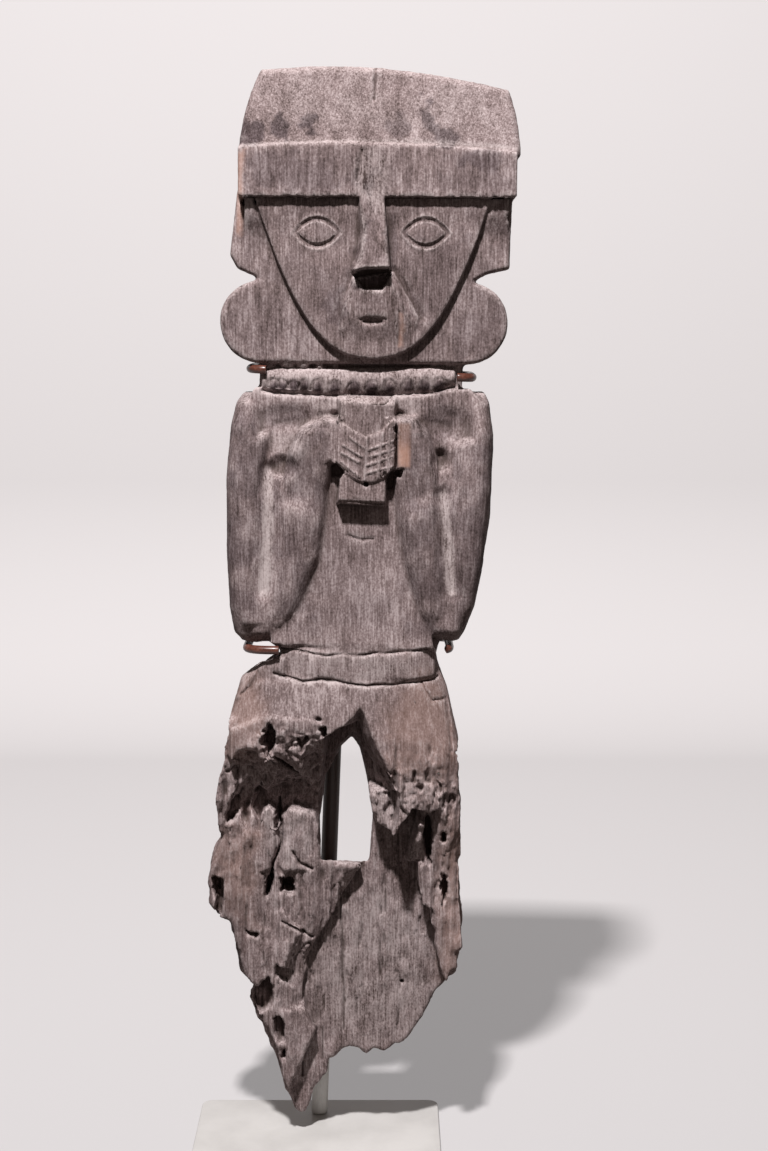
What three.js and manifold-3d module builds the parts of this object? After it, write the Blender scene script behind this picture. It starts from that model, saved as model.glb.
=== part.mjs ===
// A carved wooden figure on its display stand: a standing figure in a tall headdress, with ear spools, a bead
// collar and a beaker held in both hands. Its lower legs are weathered to a ragged plank with one long tip.
// A steel rod on a flat foot carries it, with one bent clip under the head and one under the elbows.
// Millimetres, +Z up, the figure facing -Y. The origin is the middle of the foot's underside.
import * as THREE from "three";
import { mergeVertices } from "three/addons/utils/BufferGeometryUtils.js";
import Module from "manifold-3d";

const wasm = await Module();
wasm.setup();

// Driving dimensions of the whole object
const LEAN = 2.3; // degrees that rod and figure lean towards +X
const HEAD_TILT = 2; // degrees that the head is turned back against the lean
const AXIS_X = 14; // the figure's middle line, to the right of the rod
const BACK = -32; // depth of the figure's back; depths count forwards, so y is minus the depth
const GAP = 0.3; // clearance between pieces that touch

// Stand
const FOOT = { width: 180, deep: 140, thick: 6, corner: 8, bevel: 1 };
const ROD = { radius: 6, depth: -46, top: 585, sides: 20 };
const CLIP = { radius: 3, sides: 8, steps: 48, depth: -36.6, bend: 9 };
const HOOK = 13; // how far back a clip's front bend begins
const NECK_CLIP = {
  height: 559.5,
  rise: 0,
  left: -80.5,
  right: 74,
  leftTip: [-69, 13],
  rightTip: [63, 13],
};
const WAIST_CLIP = {
  height: 366.7,
  rise: 0.04,
  left: -76.5,
  right: 66.5,
  leftTip: [-53.6, 19],
  rightTip: [64, 14],
};

// Head, measured from its own base line at the top of the neck
const HEAD = { x: 2.6, z: 566.4 };
const CAP = { left: -90, right: 101.5, low: 140, top: 207, front: 22, bevel: 3 };
const CAP_CORNER = { left: [-75, 198], right: [93.5, 185] };
const CAP_SLOPE = 0.16; // the cap leans back by this much for each millimetre of height
const BAND = { left: -90, right: 99, low: 113, high: 146, arch: 4, front: 25 };
const HOOD = { front: 14, bevel: 2, topLeft: -91, topRight: 97 };
const HOOD_CORNER = { left: [-96.5, 73.5], right: [95.2, 65] };
const NOTCH = { left: [-76.5, 58], right: [71, 56.6] };
const SPOOL = { left: [-75.5, 28.3], right: [66.5, 27.8], radius: 28.2 };
const FACE = { x: 1.5, halfWidth: 80.5, height: 110, chin: 3.7, bend: 0.41, front: 19.5, steps: 14 };
const NOSE = { x: 0.8, top: 118, low: 64.5, under: 55, halfTop: 7.8, halfLow: 12.3, bridge: 25, tip: 33 };
const MUZZLE = { halfTop: 12, halfLow: 26, halfChin: 20, top: 60, low: 29, chin: 13, rise: 2.2 };
const EYE = { x: 37, z: 89, width: 35, height: 23, innerWidth: 26, innerHeight: 14, groove: 1.6, rise: 1 };
const MOUTH = { x: 1.5, z: 29, width: 21, height: 4.4, deep: 4 };

// Neck and bead collar
const NECK = { left: -74, right: 67, low: 535, high: 575, front: 7, bevel: 3 };
const BEADS = { count: 12, left: -66, right: 57.5, z: 559, sag: 6, depth: 9, sides: 8, rings: 6 };
const BEAD_HALF = [6.4, 7.5, 9]; // across, deep and tall

// Trunk and arms. An arm's stations run upwards: height, middle, half width, depth of the middle, half depth.
const TRUNK = { front: 9, bevel: 7 };
const BELLY = { top: 505, halfTop: 30, low: 368.6, left: -60, right: 55, frontTop: 11, frontLow: 19 };
const UPPER_ARM_LEFT = [
  [368, -72, 7, -1, 12],
  [374, -74, 12, -1, 17],
  [392, -77.5, 12.5, 0, 20],
  [430, -79, 14, 1, 21],
  [482, -80, 15, 2, 21],
  [520, -78, 15, 1, 20],
  [536, -75, 15, -1, 17],
  [543, -73, 12, -4, 10],
];
const UPPER_ARM_RIGHT = [
  [374.5, 66, 6, -1, 12],
  [381, 67, 9.5, -1, 17],
  [400, 72, 11, 0, 20],
  [430, 75, 12.5, 1, 21],
  [482, 76, 15, 2, 21],
  [520, 75, 15.5, 1, 20],
  [542, 72, 14.5, -1, 17],
  [549, 69, 11, -4, 10],
];
const FOREARM_LEFT = [
  [369, -69, 8, 2, 10],
  [376, -65, 15, 3, 16],
  [392, -55, 16, 4, 19],
  [430, -43.5, 17.5, 5, 20],
  [478, -40, 17, 7, 20],
  [504, -36, 16.5, 10, 20],
  [519, -30, 15, 12, 18],
  [528, -26, 9, 12, 11],
];
const FOREARM_RIGHT = [
  [375.5, 62, 6, 2, 10],
  [381, 59, 10, 3, 16],
  [396, 53, 12, 4, 19],
  [430, 46, 15.5, 5, 20],
  [478, 39, 17, 7, 20],
  [504, 36, 15.5, 10, 20],
  [521, 33, 12, 12, 18],
  [530, 31, 8, 12, 11],
];
const YOKE = {
  front: 16,
  bevel: 4,
  left: [[-80, 541], [-76, 547], [-14, 545], [-20, 533], [-46, 527], [-72, 522]],
  right: [[18, 545], [72, 552], [80, 545], [70, 526], [44, 530], [24, 535]],
};
const ARM_SIDES = 16;
const ARM_ROUND = 2.7; // flattened towards the front, as the arms are
const OUTER_LEFT = [[-85, 541], [-89.5, 534], [-94, 500], [-94.5, 470], [-92.5, 426], [-88, 383], [-81, 368]];
const OUTER_RIGHT = [[83, 549], [87, 542], [91, 511], [90.6, 462], [86, 419], [80, 396], [73.2, 375]];
const WAIST = { left: [[-62, 368], [-53.5, 362]], right: [[59.7, 374.2], [58, 368]], low: 340 };

// Beaker and the hands round it
const BEAKER = { x: 1.8, depth: 9, low: 484, high: 545, radiusLow: 17, radiusHigh: 21.4, sides: 22 };
const BEAKER_RIM = { wide: 3, hollow: 6 };
const BEAKER_FOOT = { front: 29, bevel: 1, points: [[-15.6, 470], [17.4, 469], [17, 489], [-15, 490]] };
const HANDS = { fingers: 4, pitch: 9.6, middle: 1.6, low: 490, slope: 28, depth: 29 };
const FINGER = { radius: 5.2, length: 15, sides: 8 };

// Belt and hips. Hip stations run downwards: height, left edge, right edge, depth of the front.
const BELT = { high: 367, low: 346, sag: 5, front: 19.5, left: -52, right: 56.5 };
const HIPS = [
  [367, -50, 57, 14],
  [359.5, -53, 58.5, 15.5],
  [354, -66, 60, 17],
  [340, -81, 66, 21],
  [304, -90, 75.5, 26],
  [267, -94, 78.5, 27],
  [222, -91, 80, 26],
];
const HIP_ROUND = 3; // a higher power gives squarer hips in plan
const HIP_SIDES = 32;

// Weathered legs: layers of wood with ragged edges, from the front backwards
const THIGH_LEFT_EDGE = [[-97, 290], [-83, 284], [-66, 281], [-52, 291], [-38, 300], [-22, 302], [-8, 312]];
const THIGH_RIGHT_EDGE = [
  [6, 312], [17, 274], [25, 242], [31, 236], [44, 255], [58, 252], [70, 262], [84, 268],
];
const PLANK = { front: -11, bevel: 2, wornFrom: 180, wornTo: 20, wornBack: 6 };
const PLANK_LEFT = [
  [-60, 336], [-88, 298], [-95, 259], [-92.5, 218], [-98.8, 207], [-100.8, 186], [-99.8, 168], [-94, 161],
  [-85, 159], [-78, 138], [-75, 118], [-65, 111], [-68, 99], [-61, 85], [-55, 73], [-47, 58], [-43, 43],
  [-39, 31], [-34, 18.6], [-29.6, 14],
];
const PLANK_RIGHT = [
  [-24.5, 15.6], [-17.5, 32], [-10, 46], [-4, 60], [7, 66], [20, 62], [33, 64], [51, 75], [60, 91], [64, 102],
  [72, 114], [82, 126], [86, 148], [83, 181], [80, 218], [78, 259], [74, 298], [50, 336],
];
const SHIN_TOP = [
  [-22, 232], [-27, 250], [-38, 258], [-49, 252], [-52, 230], [-57, 232], [-60, 254], [-68, 260], [-74, 244],
  [-80, 250], [-88, 256],
];
const SHIN_EDGE = [
  [-18, 80], [-29, 104], [-28, 126], [-22, 148], [-9, 170], [2, 191], [10, 208], [-9, 207], [-22, 218],
];
const STRIP_POINTS = [
  [46, 275], [50, 225], [55, 180], [62, 176], [67, 145], [74, 122], [81, 134], [84, 152], [81, 185],
  [78, 222], [76, 275],
];
const FLAP_POINTS = [[-45, 172], [-31, 158], [-26, 132], [-32, 112], [-47, 128], [-47, 160]];
const SHIN = { back: -22, front: 1, bevel: 2, inset: 2.4, lift: 4, high: 240, low: 30 };
const STRIP = { back: -24, front: 8, bevel: 2 };
const FLAP = { back: -20, front: 6, bevel: 1.5 };
const RAG = { step: 8, across: 1.3, along: 2.6 };
const PIT_FRONT = 30;
const PITS = [
  { at: [-56, 192], half: [4, 11], floor: -16 },
  { at: [-41, 192], half: [8, 8], floor: -16 },
  { at: [-92, 186], half: [4, 17], floor: -14 },
  { at: [-57, 296], half: [5, 14], floor: -10 },
  { at: [-24, 312], half: [5, 8], floor: -6 },
  { at: [-41, 62], half: [4, 13], floor: -8 },
];

// Crotch and the gap between the legs, at the front face and, narrower, at the back
const GAP_FRONT = [
  [4.5, 328], [11, 314], [19, 274], [20, 250], [17, 226], [-20, 224], [-23, 246], [-22, 272], [-14, 304],
];
const GAP_BACK = [
  [-1, 292], [5, 284], [11, 262], [17, 236], [15.5, 197], [-19.5, 195], [-21.5, 232], [-18, 266], [-8, 285],
];
const GAP_DEPTH = { back: -37, front: 40 };

const WOOD = new THREE.MeshStandardMaterial({ color: 0x8a7a73, roughness: 0.92, metalness: 0 });
const BROWN_PAINT = new THREE.MeshStandardMaterial({ color: 0x3a1f18, roughness: 0.45, metalness: 0.2 });
const WHITE_PAINT = new THREE.MeshStandardMaterial({ color: 0xe8e6e0, roughness: 0.6, metalness: 0.1 });

// Turns a closed three.js geometry into a solid that can be joined and cut.
function solidOf(geometry) {
  const bare = geometry.index ? geometry.toNonIndexed() : geometry.clone();
  bare.deleteAttribute("normal");
  bare.deleteAttribute("uv");
  const merged = mergeVertices(bare, 1e-4);
  const vertProperties = merged.attributes.position.array;
  const triVerts = new Uint32Array(merged.index.array);
  return new wasm.Manifold(new wasm.Mesh({ numProp: 3, vertProperties, triVerts }));
}

// Turns a solid back into a geometry with flat shading.
function geometryOf(solid) {
  const mesh = solid.getMesh();
  const geometry = new THREE.BufferGeometry();
  geometry.setAttribute("position", new THREE.BufferAttribute(new Float32Array(mesh.vertProperties), 3));
  geometry.setIndex(new THREE.BufferAttribute(new Uint32Array(mesh.triVerts), 1));
  const flat = geometry.toNonIndexed();
  flat.computeVertexNormals();
  return flat;
}

const join = (...solids) => solids.reduce((whole, next) => whole.add(next));
const radians = THREE.MathUtils.degToRad;
const outline = (points) => new THREE.Shape(points.map(([x, z]) => new THREE.Vector2(x, z)));

// An outline in the front plane, x across and z up, cut from a board between the depths back and front.
function board(shape, back, front, bevel = 0, curveSegments = 8) {
  const geometry = new THREE.ExtrudeGeometry(shape, {
    depth: front - back - 2 * bevel,
    bevelEnabled: bevel > 0,
    bevelThickness: bevel,
    bevelSize: bevel,
    bevelOffset: -bevel,
    bevelSegments: bevel > 4 ? 3 : 1,
    curveSegments,
  });
  geometry.translate(0, 0, back + bevel);
  geometry.rotateX(Math.PI / 2);
  return geometry;
}

// Moves every point of a geometry, given as x, depth and z.
function reshape(geometry, move) {
  const position = geometry.attributes.position;
  for (let i = 0; i < position.count; i++) {
    const [x, depth, z] = move(position.getX(i), -position.getY(i), position.getZ(i));
    position.setXYZ(i, x, -depth, z);
  }
  return geometry;
}

// Skins a stack of rings with the same number of points, and closes both ends. Rings run upwards or forwards.
function skin(rings) {
  const count = rings[0].length;
  const points = rings.flat();
  const index = [];
  for (let r = 0; r + 1 < rings.length; r++)
    for (let i = 0; i < count; i++) {
      const a = r * count + i;
      const b = r * count + ((i + 1) % count);
      index.push(a, b, b + count, a, b + count, a + count);
    }
  const flat = rings[0].map((p) => new THREE.Vector2(p.u, p.v));
  const last = (rings.length - 1) * count;
  for (const [a, b, c] of THREE.ShapeUtils.triangulateShape(flat, [])) {
    index.push(a, c, b);
    index.push(last + a, last + b, last + c);
  }
  const geometry = new THREE.BufferGeometry();
  const position = points.flatMap((p) => [p.x, p.y, p.z]);
  geometry.setAttribute("position", new THREE.Float32BufferAttribute(position, 3));
  geometry.setIndex(index);
  return geometry;
}

// A limb: a stack of level rings, each a rounded shape round its middle.
function limb(stations, sides, power = 2) {
  const rings = stations.map(([z, x, halfWidth, depth, halfDepth]) => {
    const ring = [];
    for (let i = 0; i < sides; i++) {
      const turn = (2 * Math.PI * i) / sides;
      const [c, s] = [Math.cos(turn), Math.sin(turn)];
      const across = Math.sign(c) * Math.abs(c) ** (2 / power) * halfWidth;
      const deep = Math.sign(s) * Math.abs(s) ** (2 / power) * halfDepth;
      ring.push({ x: x + across, y: -depth + deep, z, u: across, v: deep });
    }
    return ring;
  });
  return skin(rings);
}

// A cut with straight flared walls between two like outlines at two depths.
function flaredCut(backPoints, backDepth, frontPoints, frontDepth) {
  const ring = (points, depth) => points.map(([x, z]) => ({ x, y: -depth, z, u: x, v: z }));
  const clockwise = THREE.ShapeUtils.isClockWise(backPoints.map(([x, z]) => new THREE.Vector2(x, z)));
  const order = (points) => (clockwise ? [...points].reverse() : points);
  return skin([ring(order(backPoints), backDepth), ring(order(frontPoints), frontDepth)]);
}

// A repeatable number from -1 to 1 for a whole number.
function chance(n) {
  const wave = Math.sin(n * 12.9898 + 4.1) * 43758.5453;
  return 2 * (wave - Math.floor(wave)) - 1;
}

// Splits a line into short steps and pushes them in and out, more along the grain than across it.
function ragged(points, seed) {
  const made = [];
  points.slice(0, -1).forEach(([x, z], i) => {
    const [nextX, nextZ] = points[i + 1];
    const steps = Math.max(1, Math.round(Math.hypot(nextX - x, nextZ - z) / RAG.step));
    for (let s = 0; s < steps; s++) {
      const n = seed + made.length;
      const across = THREE.MathUtils.lerp(x, nextX, s / steps) + RAG.across * chance(n);
      const along = THREE.MathUtils.lerp(z, nextZ, s / steps) + RAG.along * chance(n + 500);
      made.push([across, along]);
    }
  });
  made.push(points.at(-1));
  return made;
}

// Headdress: a domed cap above a plain band whose lower edge is the brow.
function headdress() {
  const cap = new THREE.Shape();
  cap.moveTo(CAP.left, CAP.low);
  cap.quadraticCurveTo(CAP.left + 2, CAP.low + 32, ...CAP_CORNER.left);
  cap.quadraticCurveTo(5, CAP.top, ...CAP_CORNER.right);
  cap.quadraticCurveTo(CAP.right - 1, CAP.low + 26, CAP.right, CAP.low);
  const leaning = reshape(board(cap, BACK, CAP.front, CAP.bevel, 10), (x, depth, z) => [
    x,
    depth - CAP_SLOPE * (z - CAP.low) * (depth > 0 ? 1 : -0.5),
    z,
  ]);
  const band = new THREE.Shape();
  band.moveTo(BAND.left, BAND.low);
  band.lineTo(BAND.right, BAND.low);
  band.lineTo(BAND.right, BAND.high - 3);
  band.quadraticCurveTo(-20, BAND.high + 2 * BAND.arch, BAND.left, BAND.high);
  return join(solidOf(leaning), solidOf(board(band, BACK, BAND.front, 1.2)));
}

// Hood behind the face: straight sides, a notch on each side and a round ear spool below it.
function hood() {
  const shape = new THREE.Shape();
  shape.moveTo(HOOD.topLeft, BAND.low + 5);
  shape.lineTo(...HOOD_CORNER.left);
  shape.lineTo(HOOD_CORNER.left[0] + 5, HOOD_CORNER.left[1] - 9);
  shape.lineTo(...NOTCH.left);
  shape.absarc(...SPOOL.left, SPOOL.radius, radians(100), radians(268), false);
  shape.absarc(...SPOOL.right, SPOOL.radius, radians(272), radians(440), false);
  shape.lineTo(...NOTCH.right);
  shape.lineTo(NOTCH.right[0] + 9, NOTCH.right[1] + 5);
  shape.lineTo(...HOOD_CORNER.right);
  shape.lineTo(HOOD.topRight, BAND.low + 5);
  return solidOf(board(shape, BACK, HOOD.front, HOOD.bevel, 12));
}

// Face: a long shield, with a wedge nose, a raised muzzle, almond eyes and a slit mouth.
function face() {
  const halfWidthAt = (t) => FACE.halfWidth * t ** FACE.bend;
  const left = [];
  const right = [];
  for (let i = 1; i <= FACE.steps; i++) {
    const t = (i / FACE.steps) ** 2;
    const z = FACE.chin + FACE.height * t;
    left.push([FACE.x - halfWidthAt(t), z]);
    right.push([FACE.x + halfWidthAt(t), z]);
  }
  const shield = board(outline([...left.reverse(), [FACE.x, FACE.chin], ...right]), 0, FACE.front, 0.8);
  let made = join(solidOf(shield), muzzle(), nose());
  for (const side of [-1, 1]) made = eye(made, side * EYE.x + 0.5);
  const slit = almond(MOUTH.width, MOUTH.height, MOUTH.x, MOUTH.z);
  const front = FACE.front + MUZZLE.rise;
  return made.subtract(solidOf(board(slit, front - MOUTH.deep, front + 5)));
}

// A stack of level four-sided rings that stand out from the face: height, half width and depth of the front.
function wedge(x, levels) {
  return solidOf(skin(levels.map(([z, half, depth]) => [
    { x: x - half, y: -depth, z, u: -half, v: -depth },
    { x: x + half, y: -depth, z, u: half, v: -depth },
    { x: x + half + 1.5, y: 0, z, u: half + 1.5, v: 0 },
    { x: x - half - 1.5, y: 0, z, u: -half - 1.5, v: 0 },
  ])));
}

// Muzzle: spreads downwards from the nose and runs out into the chin.
function muzzle() {
  return wedge(FACE.x, [
    [MUZZLE.chin, MUZZLE.halfChin, FACE.front - 0.3],
    [MUZZLE.low, MUZZLE.halfLow, FACE.front + 0.7 * MUZZLE.rise],
    [MUZZLE.top, MUZZLE.halfTop, FACE.front + MUZZLE.rise],
  ]);
}

// Nose: a wedge that grows out of the band, cut off sloping underneath.
function nose() {
  return wedge(NOSE.x, [
    [NOSE.under, NOSE.halfLow - 4, FACE.front],
    [NOSE.low, NOSE.halfLow, NOSE.tip],
    [NOSE.top, NOSE.halfTop, NOSE.bridge],
  ]);
}

// A pointed oval.
function almond(width, height, x, z) {
  const shape = new THREE.Shape();
  shape.moveTo(x - width / 2, z);
  shape.quadraticCurveTo(x, z - height, x + width / 2, z);
  shape.quadraticCurveTo(x, z + height, x - width / 2, z);
  return shape;
}

// An eye: a groove round a slightly raised ball.
function eye(facing, x) {
  const outer = almond(EYE.width, EYE.height, x, EYE.z);
  const inner = almond(EYE.innerWidth, EYE.innerHeight, x, EYE.z);
  const groove = solidOf(board(outer, FACE.front - EYE.groove, FACE.front + 5, 0, 6));
  const ball = solidOf(board(inner, 0, FACE.front + EYE.rise, 1, 6));
  return facing.subtract(groove).add(ball);
}

// Bead collar: a row of long beads on a sagging line, half sunk in the neck.
function beadCollar() {
  const beads = [];
  for (let i = 0; i < BEADS.count; i++) {
    const t = i / (BEADS.count - 1);
    const bead = new THREE.SphereGeometry(1, BEADS.sides, BEADS.rings);
    bead.rotateX(Math.PI / 2);
    const [halfWidth, halfDepth, halfHeight] = BEAD_HALF;
    const swell = 0.82 + 0.22 * Math.sin(Math.PI * (0.25 + 0.6 * t));
    bead.scale(halfWidth * swell, halfDepth, halfHeight);
    const x = THREE.MathUtils.lerp(BEADS.left, BEADS.right, t);
    bead.translate(x, -BEADS.depth + 5 * (2 * t - 1) ** 4, BEADS.z - BEADS.sag * Math.sin(Math.PI * t));
    beads.push(solidOf(bead));
  }
  return join(...beads);
}

// Trunk: a thick board with rounded edges from neck to waist, and the belly that swells towards the belt.
function trunk() {
  const left = [...OUTER_LEFT, ...WAIST.left, [WAIST.left[1][0] + 3, WAIST.low]];
  const right = [...OUTER_RIGHT, ...WAIST.right, [WAIST.right[1][0] - 6, WAIST.low]];
  const middle = board(outline([...left, ...right.reverse()]), BACK, TRUNK.front, TRUNK.bevel);
  const neck = board(
    outline([[NECK.left, NECK.low], [NECK.right, NECK.low], [NECK.right, NECK.high], [NECK.left, NECK.high]]),
    BACK + 6,
    NECK.front,
    NECK.bevel,
  );
  const bellyShape = outline([
    [BELLY.left, BELLY.low],
    [BELLY.right, BELLY.low],
    [BELLY.halfTop, BELLY.top],
    [-BELLY.halfTop, BELLY.top],
  ]);
  const belly = reshape(board(bellyShape, 0, BELLY.frontTop), (x, depth, z) => {
    const down = (BELLY.top - z) / (BELLY.top - BELLY.low);
    return [x, depth > 0 ? THREE.MathUtils.lerp(BELLY.frontTop, BELLY.frontLow, down) : depth, z];
  });
  return join(solidOf(middle), solidOf(neck), solidOf(belly));
}

// Arms: on each side a shoulder yoke, an upper arm that hangs down and a forearm that rises to the hands.
function arms() {
  const { front, bevel } = YOKE;
  const yokes = [YOKE.left, YOKE.right].map((points) => board(outline(points), 0, front, bevel));
  const limbs = [UPPER_ARM_LEFT, UPPER_ARM_RIGHT, FOREARM_LEFT, FOREARM_RIGHT];
  return join(...[...yokes, ...limbs.map((stations) => limb(stations, ARM_SIDES, ARM_ROUND))].map(solidOf));
}

// Beaker: a flared cup with a shallow hollow in its top, on a square foot that juts out over the belly.
function beaker() {
  const profile = [
    [0, BEAKER.low],
    [BEAKER.radiusLow, BEAKER.low],
    [BEAKER.radiusLow + 0.8, BEAKER.low + 16],
    [BEAKER.radiusHigh, BEAKER.high],
    [BEAKER.radiusHigh - BEAKER_RIM.wide, BEAKER.high],
    [BEAKER.radiusHigh - BEAKER_RIM.wide - 2, BEAKER.high - BEAKER_RIM.hollow],
    [0, BEAKER.high - BEAKER_RIM.hollow],
  ].map(([r, z]) => new THREE.Vector2(r, z));
  const cup = new THREE.LatheGeometry(profile, BEAKER.sides);
  cup.rotateX(Math.PI / 2);
  const foot = board(outline(BEAKER_FOOT.points), 0, BEAKER_FOOT.front, BEAKER_FOOT.bevel);
  return join(solidOf(cup.translate(BEAKER.x, -BEAKER.depth, 0)), solidOf(foot));
}

// Hands: four straight fingers on each side that meet in front of the beaker and slope down to the middle.
function hands() {
  const fingers = [];
  for (const side of [-1, 1])
    for (let i = 0; i < HANDS.fingers; i++) {
      const finger = new THREE.CapsuleGeometry(FINGER.radius, FINGER.length, 2, FINGER.sides);
      finger.rotateZ(Math.PI / 2);
      finger.translate(side * (FINGER.length / 2 + FINGER.radius * 0.6), 0, 0);
      finger.rotateY(-side * radians(HANDS.slope));
      fingers.push(solidOf(finger.translate(HANDS.middle, -HANDS.depth, HANDS.low + i * HANDS.pitch)));
    }
  return join(...fingers);
}

// Belt: a flat band that sags a little at the front.
function belt() {
  const shape = new THREE.Shape();
  shape.moveTo(BELT.left, BELT.low + 4);
  shape.quadraticCurveTo(0, BELT.low - BELT.sag, BELT.right, BELT.low + 4);
  shape.lineTo(BELT.right, BELT.high + 2);
  shape.quadraticCurveTo(0, BELT.high - BELT.sag, BELT.left, BELT.high);
  return solidOf(board(shape, 0, BELT.front, 1));
}

// Hips and thighs as one swelling form, broken off along a ragged lower edge on each leg.
function hips() {
  const stations = [...HIPS].reverse().map(([z, left, right, front]) => {
    return [z, (left + right) / 2, (right - left) / 2, (front + BACK) / 2, (front - BACK) / 2];
  });
  const form = solidOf(limb(stations, HIP_SIDES, HIP_ROUND));
  const upper = [[110, 268], [110, 400], [-120, 400], [-120, 290]];
  const kept = outline([...ragged(THIGH_LEFT_EDGE, 11), ...ragged(THIGH_RIGHT_EDGE, 53), ...upper]);
  return form.intersect(solidOf(board(kept, BACK - 5, 60)));
}

// The worn legs below: a plank, a thicker layer left on the shin, an outer strip and a flap.
function wornLegs() {
  const rim = outline([...ragged(PLANK_LEFT, 101), ...ragged(PLANK_RIGHT, 211)]);
  const plank = reshape(board(rim, BACK, PLANK.front, PLANK.bevel), (x, depth, z) => {
    const worn = THREE.MathUtils.smoothstep(-z, -PLANK.wornFrom, -PLANK.wornTo);
    return [x, depth < PLANK.front - 6 ? depth + PLANK.wornBack * worn : depth, z];
  });
  const outer = PLANK_LEFT.filter(([, z]) => z < SHIN.high && z > SHIN.low);
  const inset = outer.map(([x, z]) => [x + SHIN.inset, z + SHIN.lift]);
  const shinRim = [...ragged(inset, 102), ...ragged([...SHIN_EDGE, ...SHIN_TOP], 307)];
  const layers = [
    [SHIN, shinRim],
    [STRIP, ragged(STRIP_POINTS, 409)],
    [FLAP, ragged(FLAP_POINTS, 503)],
  ].map(([layer, points]) => board(outline(points), layer.back, layer.front, layer.bevel));
  return join(...[plank, ...layers].map(solidOf));
}

// A pit in the weathered wood, narrowing to its bottom.
function pit({ at, half, floor }, n) {
  const around = (scale) => [0, 1, 2, 3, 4].map((i) => {
    const turn = (2 * Math.PI * i) / 5 + chance(n);
    return [at[0] + scale * half[0] * Math.cos(turn), at[1] + scale * half[1] * Math.sin(turn)];
  });
  return solidOf(flaredCut(around(0.35), floor, around(1.15), PIT_FRONT));
}

function carvedFigure() {
  const head = join(headdress(), hood(), face());
  const turned = geometryOf(head).rotateY(-radians(HEAD_TILT)).translate(HEAD.x, 0, HEAD.z);
  const body = join(trunk(), arms(), beadCollar(), beaker(), hands(), belt(), hips(), wornLegs());
  const legGap = solidOf(flaredCut(GAP_BACK, GAP_DEPTH.back, GAP_FRONT, GAP_DEPTH.front));
  const whole = join(solidOf(turned), body).subtract(legGap);
  return PITS.reduce((worn, place, n) => worn.subtract(pit(place, n)), whole);
}

// A bent clip: from a tip in front, round one side, straight across the back and round the other side.
function clip({ height, rise, left, right, leftTip, rightTip }) {
  const at = (x, depth) => new THREE.Vector3(x, -depth, height + rise * x);
  const { bend, depth } = CLIP;
  const path = new THREE.CurvePath();
  const corner = (...points) => path.add(new THREE.QuadraticBezierCurve3(...points.map((p) => at(...p))));
  const run = (...points) => path.add(new THREE.LineCurve3(...points.map((p) => at(...p))));
  const leftTurn = [left, leftTip[1] - HOOK];
  const rightTurn = [right, rightTip[1] - HOOK];
  corner(leftTip, [left, leftTip[1]], leftTurn);
  run(leftTurn, [left, depth + bend]);
  corner([left, depth + bend], [left, depth], [left + bend, depth]);
  run([left + bend, depth], [right - bend, depth]);
  corner([right - bend, depth], [right, depth], [right, depth + bend]);
  run([right, depth + bend], rightTurn);
  corner(rightTurn, [right, rightTip[1]], rightTip);
  const section = new THREE.Shape();
  for (let i = 0; i < CLIP.sides; i++) {
    const turn = (2 * Math.PI * i) / CLIP.sides;
    section[i ? "lineTo" : "moveTo"](CLIP.radius * Math.cos(turn), CLIP.radius * Math.sin(turn));
  }
  return new THREE.ExtrudeGeometry(section, { steps: CLIP.steps, extrudePath: path });
}

// The rod leans with the figure and is sawn off level just above the foot.
function rod() {
  const long = new THREE.CylinderGeometry(ROD.radius, ROD.radius, ROD.top + 40, ROD.sides);
  long.rotateX(Math.PI / 2).translate(0, -ROD.depth, ROD.top / 2 - 20);
  long.rotateY(radians(LEAN)).translate(0, 0, FOOT.thick);
  const saw = new THREE.BoxGeometry(200, 200, 200).translate(0, 0, FOOT.thick + GAP - 100);
  return geometryOf(solidOf(long).subtract(solidOf(saw)));
}

function footPlate() {
  const { width, deep, thick, corner, bevel } = FOOT;
  const [x, y] = [width / 2 - corner, deep / 2 - corner];
  const shape = new THREE.Shape();
  shape.absarc(x, y, corner, 0, Math.PI / 2);
  shape.absarc(-x, y, corner, Math.PI / 2, Math.PI);
  shape.absarc(-x, -y, corner, Math.PI, 1.5 * Math.PI);
  shape.absarc(x, -y, corner, 1.5 * Math.PI, 2 * Math.PI);
  const settings = {
    depth: thick - 2 * bevel,
    bevelThickness: bevel,
    bevelSize: bevel,
    bevelOffset: -bevel,
    bevelSegments: 1,
    curveSegments: 6,
  };
  return new THREE.ExtrudeGeometry(shape, settings).translate(0, 0, bevel);
}

function piece(name, geometry, material) {
  const mesh = new THREE.Mesh(geometry, material);
  mesh.name = name;
  return mesh;
}

const stand = new THREE.Group();
stand.add(piece("foot_plate", footPlate(), WHITE_PAINT), piece("support_rod", rod(), BROWN_PAINT));

const leaning = new THREE.Group();
leaning.position.z = FOOT.thick;
leaning.rotation.y = radians(LEAN);
const figure = new THREE.Group();
figure.position.x = AXIS_X;
figure.add(
  piece("wooden_figure", geometryOf(carvedFigure()), WOOD),
  piece("neck_clip", clip(NECK_CLIP), BROWN_PAINT),
  piece("waist_clip", clip(WAIST_CLIP), BROWN_PAINT),
);
leaning.add(figure);

const object = new THREE.Group();
object.add(stand, leaning);

export default object;
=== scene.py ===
import itertools
import math

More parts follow.
